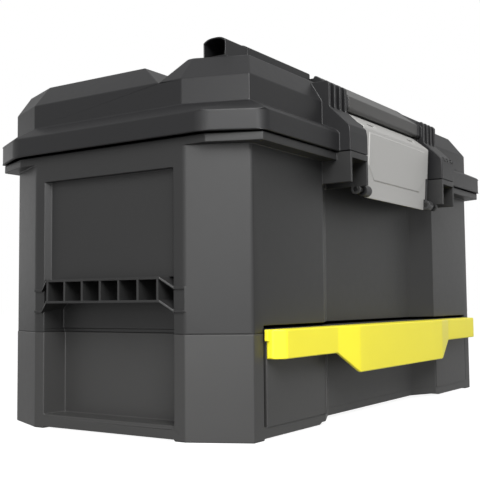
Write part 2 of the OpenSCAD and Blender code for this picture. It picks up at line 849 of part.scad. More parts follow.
// The bar's front face, the bevels at its corners, and the hollow under its rear
bar_front_h = 11.6;
bar_bevel = 2;
bar_crest = 4;
hollow_run = 7;
hollow_rise = 11;
bar_pts = [[bar_y0, bar_z0 + bar_bevel], [bar_y0 + bar_bevel, bar_z0], [bar_y1 - hollow_run, bar_z0],
    [bar_y1, bar_z0 + hollow_rise], [bar_y1, bar_z1 - bar_crest],
    [bar_y1 - bar_crest + bar_bevel, bar_z1], [bar_y1 - bar_crest, bar_z1],
    [bar_y0 + bar_bevel / 2, bar_z0 + bar_front_h + bar_bevel / 2], [bar_y0, bar_z0 + bar_front_h]];
function core_pts(w) =
    [[bar_y0 + w, bar_z0 + w], [bar_y1 - hollow_run, bar_z0 + w], [bar_y1 - w, bar_z0 + hollow_rise],
     [bar_y1 - w, bar_z1 - w - bar_bevel], [bar_y0 + w, bar_z0 + bar_front_h + bar_bevel - w]];
end_cap = 1.5;
arm_rise = 12;
arm_web = 8;
sleeve_gap = 0.3;
sleeve_x = arm_x1 - end_cap;
arm_z0 = pivot_z - knuckle_r;
arm_z1 = pivot_z + knuckle_r;

module handle_frame() {
    color(lid_col)
    difference() {
        union() {
            both_sides() {
                along_x(sleeve_x, arm_x1, bar_pts);
                block([arm_x0, bar_y1 - 1, arm_z0 + 1], [arm_x1, pivot_y, arm_z1 - 1]);
                block([arm_x0, bar_y1, bar_z0 + arm_rise], [arm_x1, bar_y1 + arm_web, arm_z1 - 1]);
                rod_x(arm_x0, arm_x1, pivot_y, pivot_z, knuckle_r);
            }
            along_x(-sleeve_x - 1, sleeve_x + 1, core_pts(core_in));
        }
        both_sides()
            rod_x(arm_x0 - 1, arm_x1 + 1, pivot_y, pivot_z, handle_pin_r + run_gap);
    }
}

module handle_grip() {
    color(lid_col)
    difference() {
        along_x(-sleeve_x + sleeve_gap, sleeve_x - sleeve_gap, bar_pts);
        along_x(-sleeve_x, sleeve_x, core_pts(core_in - fix_gap));
        both_sides()
            block([arm_x0 - sleeve_gap, bar_y1 - 1 - sleeve_gap, arm_z0 + 1 - sleeve_gap],
                [arm_x1, pivot_y, arm_z1]);
    }
}

module handle_pins() {
    color(steel_col)
    both_sides()
        rod_x(arm_x0 - move_gap - ear_t, arm_x1 + move_gap + ear_t, pivot_y, pivot_z, handle_pin_r);
}

// Latch

// The plate's front leans forward from its lower edge, just behind the pins
plate_set = 1.5;
plate_y = latch_pin_y + plate_set;
plate_z0 = latch_pin_z - barrel_r;
latch_top_z = latch_pin_z + latch_front_h;
hook_set = 3;
hook_y = bay_y - hook_set;
hook_z = bar_z0 - hook_gap;
hook_drop = 5;
hook_bevel = 0.6;
function plate_at(z) = plate_y - latch_lean * (z - plate_z0) / (latch_top_z - plate_z0);

// The plate is stepped back beside the frame's strips, and again beside its barrels
strip_step = 4.2;
barrel_step = 7.5;
strip_gap = 0.3;
strip_t = 2.5;
strip_set = 0.6;
strip_foot = 6;
panel_t = 2.6;
panel_edge = 2;
step_z1 = top_z - 1;
strip_x0 = latch_w / 2 + strip_gap;
strip_x1 = strip_x0 + strip_t;
barrel_x0 = latch_w / 2 - barrel_step + move_gap;

module latch_frame() {
    back = latch_t + fix_gap;
    z0 = plate_z0 + panel_edge;
    z1 = latch_top_z - panel_edge;
    x = latch_w / 2 - strip_step;
    color(dark_steel_col)
    difference() {
        union() {
            along_x(-x, x, [[plate_at(z0) + back, z0], [plate_at(z1) + back, z1],
                [plate_at(z1) + back + panel_t, z1], [plate_at(z0) + back + panel_t, z0]]);
            along_x(-strip_x1, strip_x1, [[plate_at(step_z1) + back, step_z1], [plate_at(z1) + back, z1],
                [plate_at(z1) + back + panel_t, z1], [plate_at(step_z1) + back + panel_t, step_z1]]);
            both_sides() {
                along_x(strip_x0, strip_x1, [[plate_at(latch_pin_z) + strip_set, latch_pin_z],
                    [plate_at(latch_top_z) + strip_set, latch_top_z], [hook_y, hook_z - hook_bevel],
                    [hook_y, hook_z - hook_drop], [plate_at(z1) + strip_foot, z1 - panel_edge],
                    [plate_at(latch_pin_z) + strip_foot, latch_pin_z]]);
                rod_x(barrel_x0, strip_x1, latch_pin_y, latch_pin_z, barrel_r);
            }
        }
        rod_x(-strip_x1 - 1, strip_x1 + 1, latch_pin_y, latch_pin_z, latch_pin_r + run_gap);
    }
}

// The slots in the plate's slanted top
top_slot_x = 42.4;
top_slot_w = 16;
top_slot_d = 2.6;
top_slot_y = 5.2;
inner_bend = 0.8;
module latch_plate() {
    t = latch_t;
    top_y = plate_at(latch_top_z);
    color([0.72, 0.72, 0.7])
    difference() {
        union() {
            along_x(-latch_w / 2, latch_w / 2, [[plate_y, plate_z0], [top_y, latch_top_z],
                [hook_y - hook_bevel, hook_z + hook_bevel], [hook_y + t, hook_z - hook_bevel],
                [hook_y + t, hook_z - hook_drop], [hook_y, hook_z - hook_drop],
                [hook_y, hook_z + 2 * hook_bevel - inner_bend - t],
                [top_y + t, latch_top_z - inner_bend], [plate_y + t, plate_z0]]);
            latch_panel();
        }
        both_sides() {
            block([latch_w / 2 - strip_step, plate_y - 9, plate_z0 - 1],
                [latch_w / 2 + 1, plate_y + 4, step_z1]);
            block([latch_w / 2 - barrel_step, plate_y - 9, plate_z0 - 1],
                [latch_w / 2, plate_y + 4, latch_pin_z + barrel_r + move_gap]);
            block([top_slot_x - top_slot_w / 2, top_y + top_slot_y, latch_top_z],
                [top_slot_x + top_slot_w / 2, top_y + top_slot_y + top_slot_d, hook_z + 1]);
        }
    }
}

// The raised field on the latch plate, with its lower corners cut off
field_t = 0.8;
field_inset = 9.5;
field_cut_x = 11.5;
field_cut_z = 12;
field_rise = 10.5;
field_drop = 3.4;
module latch_panel() {
    z0 = latch_pin_z + field_rise;
    z1 = latch_top_z - field_drop;
    x = latch_w / 2 - field_inset;
    intersection() {
        along_x(-latch_w / 2, latch_w / 2, [[plate_at(z0) - field_t, z0], [plate_at(z1) - field_t, z1],
            [plate_at(z1) + latch_t / 2, z1], [plate_at(z0) + latch_t / 2, z0]]);
        rotate([90, 0, 0])
            linear_extrude(2 * half_d)
                polygon([[-x + field_cut_x, z0], [x - field_cut_x, z0], [x, z0 + field_cut_z],
                    [x, z1], [-x, z1], [-x, z0 + field_cut_z]]);
    }
}

// Drawer

front_y = -half_d - drawer_proud;
drawer_z0 = drawer_lip_h + drawer_foot_gap;
drawer_z1 = base_h + drawer_rise - drawer_top_gap;
box_x = runner_x - fix_gap - slide_t;
box_set = 8.5;
box_rise = 2;
box_y0 = -half_d + recess_d + box_set;
box_y1 = box_y0 + drawer_depth;
box_z0 = drawer_z0 + box_rise;
box_z1 = box_z0 + drawer_h;

module drawer_box() {
    t = drawer_t;
    color(body_col)
    difference() {
        block([-box_x, box_y0, box_z0], [box_x, box_y1, box_z1]);
        block([-box_x + t, box_y0 + t, box_z0 + t], [box_x - t, box_y1 - t, box_z1 + 1]);
        slide_screw_pilots();
        front_screw_holes();
    }
}

// Screws from inside the drawer box into bosses behind its front
small_screw_r = 1.5;
small_head_h = 2;
front_screw_in = 74;
front_screw_edge = 12;
front_screw_x = drawer_w / 2 - front_screw_in;
front_screw_len = 12;
front_boss_r = 4;
module at_front_screws() {
    both_sides()
        for (z = [box_z0 + front_screw_edge, box_z1 - front_screw_edge])
            translate([front_screw_x, box_y0, z])
                rotate([90, 0, 0])
                    children();
}
module front_screw_holes() {
    at_front_screws()
        translate([0, 0, -drawer_t - 1])
            cylinder(h = drawer_t + 1 + front_screw_len, r = small_screw_r + run_gap);
}
module drawer_front_screws() {
    color(steel_col)
    at_front_screws() {
        translate([0, 0, -drawer_t])
            cylinder(h = drawer_t + front_screw_len - 1, r = small_screw_r);
        translate([0, 0, -drawer_t - small_head_h])
            cylinder(h = small_head_h, r = 2 * small_screw_r);
    }
}

module drawer_front() {
    t = wall;
    floor_y = -half_d + recess_d;
    color(body_col)
    difference() {
        union() {
            difference() {
                block([-drawer_w / 2, front_y, drawer_z0], [drawer_w / 2, box_y0, drawer_z1]);
                difference() {
                    block([-drawer_w / 2 + t, front_y + t, drawer_z0 + t],
                        [drawer_w / 2 - t, box_y0 + 1, drawer_z1 - t]);
                    front_recess(0, drawer_z1, t);
                }
                both_sides()
                    block([box_x, front_y + t, drawer_z0 - 1], [drawer_w, box_y0 + 1, drawer_z1 + 1]);
            }
            at_front_screws()
                cylinder(h = box_y0 - front_y - 1, r = front_boss_r);
        }
        front_recess(-1, pull_z0 + finger_over, 0, 4);
        block([-recess_floor_w / 2 + finger_over, front_y - 1, pull_z0 - 1],
            [recess_floor_w / 2 - finger_over, floor_y, pull_z1 - pull_cover_t - finger_roof]);
        pull_screw_holes();
        front_screw_holes();
    }
}

// The pull: a bar across the drawer, bowed out in the middle, with a tab below it
pull_over = 1;
pull_lug = 2.4;
pull_lug_d = 5.5;
pull_end_run = 7;
pull_drop = 0.4;
pull_knee_out = 3.3;
tab_out = 3.5;
pull_cover_t = 2.5;
finger_over = 2;
finger_roof = 3.5;
pull_x = drawer_w / 2 + pull_over;
pull_z1 = drawer_z1 - pull_drop;
pull_z0 = pull_z1 - pull_h;
pull_y = front_y - fix_gap / 2;
pull_knee_x = recess_w / 2 + pull_knee_out;
tab_x = recess_floor_w / 2 + tab_out;
bar_y = pull_y - pull_t;
tab_y = bar_y - pull_bulge;
module pull_plan() {
    half = [[pull_x, pull_y], [pull_knee_x + pull_knee_out, pull_y], [tab_x, tab_y + pull_wall],
        [0, tab_y + pull_wall], [0, tab_y], [tab_x, tab_y], [pull_knee_x, bar_y],
        [pull_x - pull_end_run, bar_y], [pull_x, pull_y - pull_lug_d]];
    polygon(half);
    mirror([1, 0])
        polygon(half);
}
module drawer_pull() {
    lug_z = pull_z0 + pull_h * 0.6;
    color(yellow_col)
    difference() {
        union() {
            translate([0, 0, pull_z0])
                linear_extrude(pull_h)
                    pull_plan();
            both_sides()
                block([pull_x - 2, pull_y - pull_lug_d, lug_z], [pull_x + pull_lug, pull_y, pull_z1]);
            intersection() {
                translate([0, 0, pull_z0 - tab_drop])
                    linear_extrude(tab_drop + 1)
                        pull_plan();
                translate([0, pull_y, 0])
                    rotate([90, 0, 0])
                        linear_extrude(pull_t + pull_bulge + 1)
                            polygon([[-pull_knee_x, pull_z0 + 1], [-tab_x, pull_z0 - tab_drop],
                                [tab_x, pull_z0 - tab_drop], [pull_knee_x, pull_z0 + 1]]);
            }
            translate([0, 0, pull_z1 - pull_cover_t])
                linear_extrude(pull_cover_t)
                    polygon([[-pull_knee_x - pull_knee_out - 1, pull_y], [-tab_x, tab_y + 1],
                        [tab_x, tab_y + 1], [pull_knee_x + pull_knee_out + 1, pull_y]]);
        }
        pull_screw_holes();
    }
}

// Screws from behind the drawer's front into the pull
pull_screw_in = 49;
pull_screw_x = drawer_w / 2 - pull_screw_in;
pull_screw_bite = 8;
module at_pull_screws() {
    both_sides()
        translate([pull_screw_x, front_y + wall, pull_z0 + pull_h / 2])
            rotate([90, 0, 0])
                children();
}
module pull_screw_holes() {
    at_pull_screws()
        translate([0, 0, -1])
            cylinder(h = wall + 1.5 + pull_screw_bite, r = small_screw_r + run_gap);
}
module drawer_pull_screws() {
    color(steel_col)
    at_pull_screws() {
        cylinder(h = wall + pull_screw_bite, r = small_screw_r);
        translate([0, 0, -small_head_h])
            cylinder(h = small_head_h, r = 2 * small_screw_r);
    }
}

// Dividers across the drawer
divider_t = 2;
divider_gap = 0.3;
divider_drop = 6;
module drawer_dividers() {
    color(body_col)
    for (i = [1:divider_count])
        let (x = -box_x + 2 * box_x * i / (divider_count + 1))
            block([x - divider_t / 2, box_y0 + drawer_t + divider_gap, box_z0 + drawer_t],
                [x + divider_t / 2, box_y1 - drawer_t - divider_gap, box_z1 - divider_drop]);
}

// Slides, drawn on the right

slide_x1 = runner_x;
slide_x0 = slide_x1 - slide_t;
slide_set = 1;
slide_y0 = box_y0 + slide_set;
slide_y1 = slide_y0 + slide_len;
slide_top = slide_z + slide_h / 2;
ball_gap = 0.05;
inner_t = 7.6;
ball_side = 2.8;
ball_z = slide_h / 2 - sheet_t - ball_r - ball_gap;
inner_h = ball_z - ball_r - ball_gap;
ball_x = slide_x0 + inner_t - ball_side;
slide_screw_y = [0.1, 0.5, 0.9];
slide_screw_r = 1.6;
pan_r = 2.9;
pan_h = 1.4;
outer_in = 1.6;

module slide_outer() {
    difference() {
        block([slide_x0 + outer_in, slide_y0, slide_z - slide_h / 2], [slide_x1, slide_y1, slide_top]);
        block([slide_x0, slide_y0 - 1, slide_z - slide_h / 2 + sheet_t],
            [slide_x1 - sheet_t, slide_y1 + 1, slide_top - sheet_t]);
        for (k = slide_screw_y)
            rod_x(slide_x1 - 5, slide_x1 + 1, slide_y0 + k * slide_len, slide_z, slide_screw_r + run_gap);
    }
}
module slide_inner() {
    difference() {
        block([slide_x0, slide_y0, slide_z - inner_h], [slide_x0 + inner_t, slide_y1, slide_z + inner_h]);
        block([slide_x0 + sheet_t, slide_y0 - 1, slide_z - inner_h + sheet_t],
            [slide_x0 + inner_t + 1, slide_y1 + 1, slide_z + inner_h - sheet_t]);
        for (k = slide_screw_y)
            rod_x(slide_x0 - 1, slide_x0 + 5, slide_y0 + k * slide_len, slide_z, slide_screw_r + run_gap);
    }
}
module slide_outer_right() {
    color(steel_col)
    slide_outer();
}
module slide_outer_left() {
    color(steel_col)
    mirror([1, 0, 0])
        slide_outer();
}
module slide_inner_right() {
    color(steel_col)
    slide_inner();
}
module slide_inner_left() {
    color(steel_col)
    mirror([1, 0, 0])
        slide_inner();
}

// A pan-head screw along X, its head's inner face at x, pointing to +X
module pan_screw(x, y, z, len) {
    rod_x(x - pan_h / 2, x + len, y, z, slide_screw_r);
    rod_x(x - pan_h, x, y, z, pan_r);
}
module slide_screw_holes() {
    both_sides()
        for (k = slide_screw_y)
            rod_x(slide_x1 - 1, slide_x1 + wall + 1, slide_y0 + k * slide_len, slide_z,
                slide_screw_r + run_gap);
}
module slide_screw_pilots() {
    both_sides()
        for (k = slide_screw_y)
            rod_x(box_x - drawer_t - 1, box_x + 1, slide_y0 + k * slide_len, slide_z,
                slide_screw_r + run_gap);
}
module slide_outer_screws() {
    color(steel_col)
    both_sides()
        for (k = slide_screw_y)
            pan_screw(slide_x1 - sheet_t, slide_y0 + k * slide_len, slide_z, sheet_t + wall);
}
module slide_inner_screws() {
    color(steel_col)
    both_sides()
        for (k = slide_screw_y)
            mirror([1, 0, 0])
                pan_screw(-slide_x0 - sheet_t, slide_y0 + k * slide_len, slide_z, sheet_t + drawer_t);
}

// The ball cage runs half as far as the drawer
cage_len = slide_len - slide_travel;
cage_y = slide_y0 + slide_travel / 2 + cage_len / 2;
cage_t = 0.8;
cage_edge = 0.2;
cage_out = 1.6;
module at_balls() {
    for (i = [0:ball_count - 1])
        for (s = [-1, 1])
            translate([ball_x, cage_y + (i - (ball_count - 1) / 2) * ball_pitch, slide_z + s * ball_z])
                children();
}
module ball_cage() {
    x0 = ball_x - ball_r - cage_edge;
    x1 = slide_x0 + inner_t + cage_out;
    y0 = cage_y - cage_len / 2;
    y1 = cage_y + cage_len / 2;
    difference() {
        union() {
            for (s = [-1, 1])
                block([x0, y0, slide_z + s * ball_z - cage_t / 2],
                    [x1, y1, slide_z + s * ball_z + cage_t / 2]);
            block([x1 - cage_t, y0, slide_z - ball_z], [x1, y1, slide_z + ball_z]);
        }
        at_balls()
            translate([0, 0, -2])
                cylinder(h = 4, r = ball_r + 2 * ball_gap);
    }
}
module ball_cage_right() {
    color(dark_steel_col)
    ball_cage();
}
module ball_cage_left() {
    color(dark_steel_col)
    mirror([1, 0, 0])
        ball_cage();
}
module slide_balls_right() {
    color(steel_col)
    at_balls()
        sphere(r = ball_r);
}
module slide_balls_left() {
    color(steel_col)
    mirror([1, 0, 0])
        at_balls()
            sphere(r = ball_r);
}

// Lift-out tray, resting on the ledges

tray_x0 = -half_l + corner_x + column_in;
tray_x1 = tray_x0 + tray_len;
tray_y0 = ledge_y0 + move_gap;
tray_y1 = ledge_y1 - move_gap;
tray_lip_h = 2.4;
tray_z1 = ledge_z + lid_gap + tray_lip_h;
tray_z0 = tray_z1 - tray_d;
tray_mid = (tray_y0 + tray_y1) / 2;
tray_grip_t = 3;
tray_grip_w = 124;
grip_hole_w = 94;
grip_hole_h = 24;
grip_hole_drop = 20;
grip_foot_in = 10;
grip_foot_drop = 5;
tray_lip = 4;
module tote_tray() {
    t = tray_t;
    mid_x = (tray_x0 + tray_x1) / 2;
    color(body_col)
    difference() {
        union() {
            block([tray_x0 + tray_lip, tray_y0, tray_z0], [tray_x1 - tray_lip, tray_y1, tray_z1]);
            block([tray_x0, tray_y0 - tray_lip, tray_z1 - tray_lip_h],
                [tray_x1, tray_y1 + tray_lip, tray_z1]);
        }
        block([tray_x0 + tray_lip + t, tray_y0 + t, tray_z0 + t],
            [tray_x1 - tray_lip - t, tray_mid - tray_grip_t / 2, tray_z1 + 1]);
        block([tray_x0 + tray_lip + t, tray_mid + tray_grip_t / 2, tray_z0 + t],
            [tray_x1 - tray_lip - t, tray_y1 - t, tray_z1 + 1]);
    }
    color(body_col)
    difference() {
        translate([0, tray_mid + tray_grip_t / 2, 0])
            rotate([90, 0, 0])
                linear_extrude(tray_grip_t)
                    polygon([[tray_x0 + grip_foot_in, tray_z1 - grip_foot_drop],
                        [tray_x1 - grip_foot_in, tray_z1 - grip_foot_drop],
                        [mid_x + tray_grip_w / 2, tray_z1 + tray_grip_h],
                        [mid_x - tray_grip_w / 2, tray_z1 + tray_grip_h]]);
        translate([mid_x, tray_mid, tray_z1 + tray_grip_h - grip_hole_drop])
            rotate([90, 0, 0])
                linear_extrude(tray_grip_t + 2, center = true)
                    square([grip_hole_w, grip_hole_h], center = true);
    }
}

base_shell();
upper_body();
shell_screws();
slide_outer_left();
slide_outer_right();
slide_outer_screws();
latch_pins();
hinge_pins();
lid_shell();
rail_left();
rail_right();
handle_pins();
handle_frame();
handle_grip();
latch_frame();
latch_plate();
drawer_box();
drawer_front();
drawer_front_screws();
drawer_pull();
drawer_pull_screws();
drawer_dividers();
slide_inner_left();
slide_inner_right();
slide_inner_screws();
ball_cage_left();
ball_cage_right();
slide_balls_left();
slide_balls_right();
tote_tray();
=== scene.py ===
# %% [markdown]
# # A moulded tool box with a drawer
#
# The construction arrives as a fixed frame: every shell, pin, slide and screw at
# its real size and place. This file gives those solids the look of the real
# thing. It rounds the edges of the mouldings as a mould does, presses the latch
# plate, stretches the sleeve over the handle, and mixes a finish for each
# material. All lengths are written in millimetres and turned into metres once.

# %% Load the frame
import json

import bmesh
import bpy
import numpy as np
from mathutils import Matrix, Vector


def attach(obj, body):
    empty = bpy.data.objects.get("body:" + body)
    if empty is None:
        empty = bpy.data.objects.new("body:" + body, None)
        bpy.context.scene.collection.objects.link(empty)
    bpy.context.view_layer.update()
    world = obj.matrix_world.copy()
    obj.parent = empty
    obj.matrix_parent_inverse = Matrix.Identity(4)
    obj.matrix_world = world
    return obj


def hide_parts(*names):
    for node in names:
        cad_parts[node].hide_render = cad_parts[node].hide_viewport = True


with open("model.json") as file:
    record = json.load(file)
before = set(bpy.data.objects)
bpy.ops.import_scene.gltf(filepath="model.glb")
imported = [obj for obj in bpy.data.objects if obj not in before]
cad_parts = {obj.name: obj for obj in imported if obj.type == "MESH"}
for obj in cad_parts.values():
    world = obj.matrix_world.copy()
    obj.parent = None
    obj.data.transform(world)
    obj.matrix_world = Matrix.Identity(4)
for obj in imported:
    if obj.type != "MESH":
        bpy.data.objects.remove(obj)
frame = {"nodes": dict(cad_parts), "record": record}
MM = 0.001
BODY_OF = {node: body for body, members in frame["record"]["behaviour"]["bodies"].items()
           for node in members}
SLOT_OF = {row["node"]: row["material_slot"] for row in frame["record"]["subparts"]}
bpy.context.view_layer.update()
print("frame loaded:", len(frame["nodes"]), "nodes")

# %% [markdown]
# ## Helpers for nodes of a material
#
# A finish is a small network of shader nodes. Each of these reads Object
# coordinates, which stay fixed to the piece in metres, so that a grain keeps its
# real size on a large shell and on a small pin alike.

# %% Material helpers
def new_material(name):
    """An empty material with its shader, and the two helpers that grow its network."""
    material = bpy.data.materials.new(name)
    material.use_nodes = True
    tree = material.node_tree
    shader = tree.nodes["Principled BSDF"]

    def add(kind, **settings):
        node = tree.nodes.new(kind)
        for key, value in settings.items():
            if hasattr(node, key):
                setattr(node, key, value)
            else:
                node.inputs[key.replace("_", " ").title()].default_value = value
        return node

    def join(source, socket, target, name):
        tree.links.new(source.outputs[socket], target.inputs[name])

    return material, shader, add, join


def grain(add, join, scale, detail=2.0, stretch=(1, 1, 1)):
    """Noise in Object coordinates: scale is its number of cells in a metre."""
    where = add("ShaderNodeTexCoord")
    placed = add("ShaderNodeMapping", Scale=stretch)
    join(where, "Object", placed, "Vector")
    noise = add("ShaderNodeTexNoise", Scale=scale, Detail=detail)
    join(placed, "Vector", noise, "Vector")
    return noise


def ramp(add, join, source, socket, low, high):
    """A colour ramp between two colours, or two greys given as numbers.

    Noise stays near its middle, so the ramp runs from 0.3 to 0.7 of it.
    """
    node = add("ShaderNodeValToRGB")
    for stop, value, place in zip(node.color_ramp.elements, (low, high), (0.3, 0.7)):
        stop.position = place
        stop.color = (*value, 1) if hasattr(value, "__len__") else (value, value, value, 1)
    join(source, socket, node, "Fac")
    return node


# %% [markdown]
# ## Moulded plastic
#
# The shells are injection moulded in a spark-eroded mould. Close up, that leaves
# a fine leathery grain that scatters the light; further away it only shows as a
# soft sheen, a little uneven where the wall behind is thicker. So the finish
# takes three noises: a fine one for the bump, a middle one for the roughness,
# and a broad, weak one for the colour.

# %% Plastic finishes
BROAD_PER_METRE, MIDDLE_PER_METRE = 14, 180


def moulded_plastic(name, colour, rough, grain_size=0.45, depth=0.02, spread=0.04, specular=0.5):
    """Matte moulded plastic: grain_size and depth of its texture are in millimetres."""
    material, shader, add, join = new_material(name)
    broad = grain(add, join, BROAD_PER_METRE, 3)
    low = [c * (1 - spread) for c in colour]
    high = [c * (1 + spread) for c in colour]
    join(ramp(add, join, broad, "Fac", low, high), "Color", shader, "Base Color")
    middle = grain(add, join, MIDDLE_PER_METRE, 2)
    join(ramp(add, join, middle, "Fac", rough - 0.01, rough + 0.01), "Color", shader, "Roughness")
    fine = grain(add, join, 1 / (grain_size * MM), 2)
    bump = add("ShaderNodeBump", Strength=0.35, Distance=depth * MM)
    join(fine, "Fac", bump, "Height")
    join(bump, "Normal", shader, "Normal")
    shader.inputs["Specular IOR Level"].default_value = specular
    return material


FINISH = {
    "housing_plastic": moulded_plastic("housing plastic", (0.0175, 0.0175, 0.0176), 0.46),
    # The base and the drawer front take a lighter copy of the housing plastic: the extra lightness
    # is painted light for their brighter lower walls.
    "base": moulded_plastic("housing plastic, base, painted lighter", (0.039, 0.0386, 0.038), 0.45),
    "lid_plastic": moulded_plastic("lid plastic", (0.009, 0.009, 0.0098), 0.44, specular=0.44),
    "grip_rubber": moulded_plastic("handle sleeve", (0.05, 0.049, 0.047), 0.38, 0.6, 0.01),
    "pull_plastic": moulded_plastic("yellow plastic", (0.97, 0.865, 0.036), 0.38, 0.5, 0.01, 0.02),
    "dark_plastic": moulded_plastic("latch frame plastic", (0.022, 0.022, 0.023), 0.42),
}

# %% [markdown]
# ## Metals
#
# The latch plate is steel under a satin silver coat; the pins, slides and screws
# are zinc plated. Zinc is a metal to the shader, and the coat, which holds metal
# flakes in a clear binder, is partly one. Both show faint marks from rolling or
# turning. They are noise that is stretched, so that it changes fast across the
# marks and slowly along them.

# %% Metal finishes
MARK_DEPTH, MARKS_PER_METRE, MARK_SHADE = 0.004, 300, 0.93


def satin_metal(name, colour, rough, along=(1, 1, 60), metal=1.0):
    """Metal with faint marks that run along the axis whose stretch is smallest."""
    material, shader, add, join = new_material(name)
    marks = grain(add, join, MARKS_PER_METRE, 3, along)
    low = [c * MARK_SHADE for c in colour]
    join(ramp(add, join, marks, "Fac", low, colour), "Color", shader, "Base Color")
    join(ramp(add, join, marks, "Fac", rough - 0.05, rough + 0.05), "Color", shader, "Roughness")
    bump = add("ShaderNodeBump", Strength=0.3, Distance=MARK_DEPTH * MM)
    join(marks, "Fac", bump, "Height")
    join(bump, "Normal", shader, "Normal")
    shader.inputs["Metallic"].default_value = metal
    return material


FINISH["latch_steel"] = satin_metal("satin silver", (0.49, 0.485, 0.47), 0.48, metal=0.4)
FINISH["plain_steel"] = satin_metal("zinc plate", (0.55, 0.56, 0.57), 0.3, (1, 0.05, 1))
# black_steel is dark so that the latch pins, which sit in shade under the brackets, show dark: the
# darkness is painted shade
FINISH["black_steel"] = satin_metal("dark steel, painted shade", (0.05, 0.05, 0.05), 0.38, (0.05, 1, 1))
print("finishes:", ", ".join(FINISH))

# %% [markdown]
# ## Rounded edges
#
# No edge that leaves a mould is sharp: each has a radius of half a millimetre or
# so, and it is this thin round that catches the light and draws the outline of
# every facet. The frame's solids have sharp edges, and their mesh is loose
# triangles. A copy is merged, and its flat faces are joined and cut up again into
# even triangles. Each edge that turns by more than a given angle gets a weight,
# and a Bevel modifier rolls a radius along it. Between two broad faces a much
# smaller turn counts, because there a crease shows. A Weighted Normal modifier
# then lets the large faces set the shading, so that they stay flat between the
# rounds.

# %% Helpers for rounded copies
# Pieces that take the lighter copy of the housing plastic, painted light on the lower walls
PAINTED_LIGHT_SHELLS = ("base_shell", "drawer_front")
BROAD_FACE, BROAD_TURN = 80, 8  # mm2, degrees
SAME_POINT, SAME_PLANE = 0.002, 0.3  # mm, degrees


def dress(piece, node):
    """The piece moves with the body of a node, stands for it and has its finish."""
    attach(piece, BODY_OF[node])
    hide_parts(node)
    piece.data.materials.clear()
    # The base and the drawer front get the lighter copy, whose extra lightness is painted light
    piece.data.materials.append(FINISH["base" if node in PAINTED_LIGHT_SHELLS else SLOT_OF[node]])
    steady = piece.modifiers.new("flat faces stay flat", "WEIGHTED_NORMAL")
    steady.mode = "FACE_AREA"
    steady.weight = 100


def merged_copy(node, shift):
    """A solid's mesh with its points merged and its flat faces joined.

    Each entry of shift is (axis, level, new level): a flat at that distance from the
    middle plane or the floor is moved a few millimetres to where the picture has it.
    """
    shell = bmesh.new()
    shell.from_mesh(frame["nodes"][node].data)
    bmesh.ops.remove_doubles(shell, verts=shell.verts, dist=SAME_POINT * MM)
    for axis, level, new_level in shift:
        for vertex in shell.verts:
            if abs(abs(vertex.co[axis]) / MM - level) < 0.06:
                vertex.co[axis] = np.sign(vertex.co[axis]) * new_level * MM
    bmesh.ops.dissolve_degenerate(shell, edges=shell.edges, dist=SAME_POINT * MM)
    bmesh.ops.dissolve_limit(shell, angle_limit=np.radians(SAME_PLANE), verts=shell.verts,
                             edges=shell.edges)
    return shell


def edge_radii(shell, radius, special, turn):
    """The radius of each edge in millimetres, or 0 where it stays as it is.

    Each entry of special is (low, high, upright, radius): another radius for the edges
    inside a box of |x|, |y| and z in millimetres, or only for the upright ones of them.
    """
    turns = np.degrees([edge.calc_face_angle(0) for edge in shell.edges])
    broad = np.array([min((face.calc_area() for face in edge.link_faces), default=0)
                      for edge in shell.edges]) > BROAD_FACE * MM ** 2
    sharp = (turns > turn) | (turns > BROAD_TURN) & broad
    ends = np.array([[vertex.co for vertex in edge.verts] for edge in shell.edges]) / MM
    length = np.linalg.norm(ends[:, 1] - ends[:, 0], axis=1)
    steep = np.abs(ends[:, 1, 2] - ends[:, 0, 2]) > 0.7 * length
    ends[..., :2] = np.abs(ends[..., :2])
    reach = np.where(sharp, float(radius), 0)
    for low, high, upright, size in special:
        inside = np.all((ends > low) & (ends < high), axis=(1, 2)) & sharp
        reach[inside & steep if upright else inside] = size
    return reach


def rounded_copy(node, radius, special=(), segments=2, turn=24, shift=()):
    """A copy of a solid whose edges that turn by more than an angle are rounded."""
    shell = merged_copy(node, shift)
    reach = edge_radii(shell, radius, special, turn)
    largest = max(reach.max(), 0.01)
    weight = shell.edges.layers.float.new("bevel_weight_edge")
    for edge, share in zip(shell.edges, reach / largest):
        edge[weight] = share
    bmesh.ops.triangulate(shell, faces=shell.faces, quad_method="BEAUTY", ngon_method="BEAUTY")
    mesh = bpy.data.meshes.new(node + "_rounded")
    shell.to_mesh(mesh)
    shell.free()
    mesh.shade_smooth()
    piece = bpy.data.objects.new(mesh.name, mesh)
    bpy.context.scene.collection.objects.link(piece)
    if radius:
        bevel = piece.modifiers.new("edge radius", "BEVEL")
        bevel.width = largest * MM
        bevel.segments = segments
        bevel.limit_method = "WEIGHT"
        bevel.use_clamp_overlap = False
        bevel.loop_slide = False
        bevel.miter_outer = "MITER_ARC"
    dress(piece, node)


# %% Round the mouldings
EDGE_RADIUS = {
    "base_shell": 0.8, "upper_body": 0.6, "lid_shell": 0.8, "drawer_front": 0.7,
    "rail_left": 0.4, "rail_right": 0.4, "handle_frame": 0.7, "latch_frame": 0.4,
    "tote_tray": 0.5, "drawer_box": 0.5, "drawer_dividers": 0.2,
    "slide_outer_left": 0.15, "slide_outer_right": 0.15,
    "slide_inner_left": 0.15, "slide_inner_right": 0.15,
}
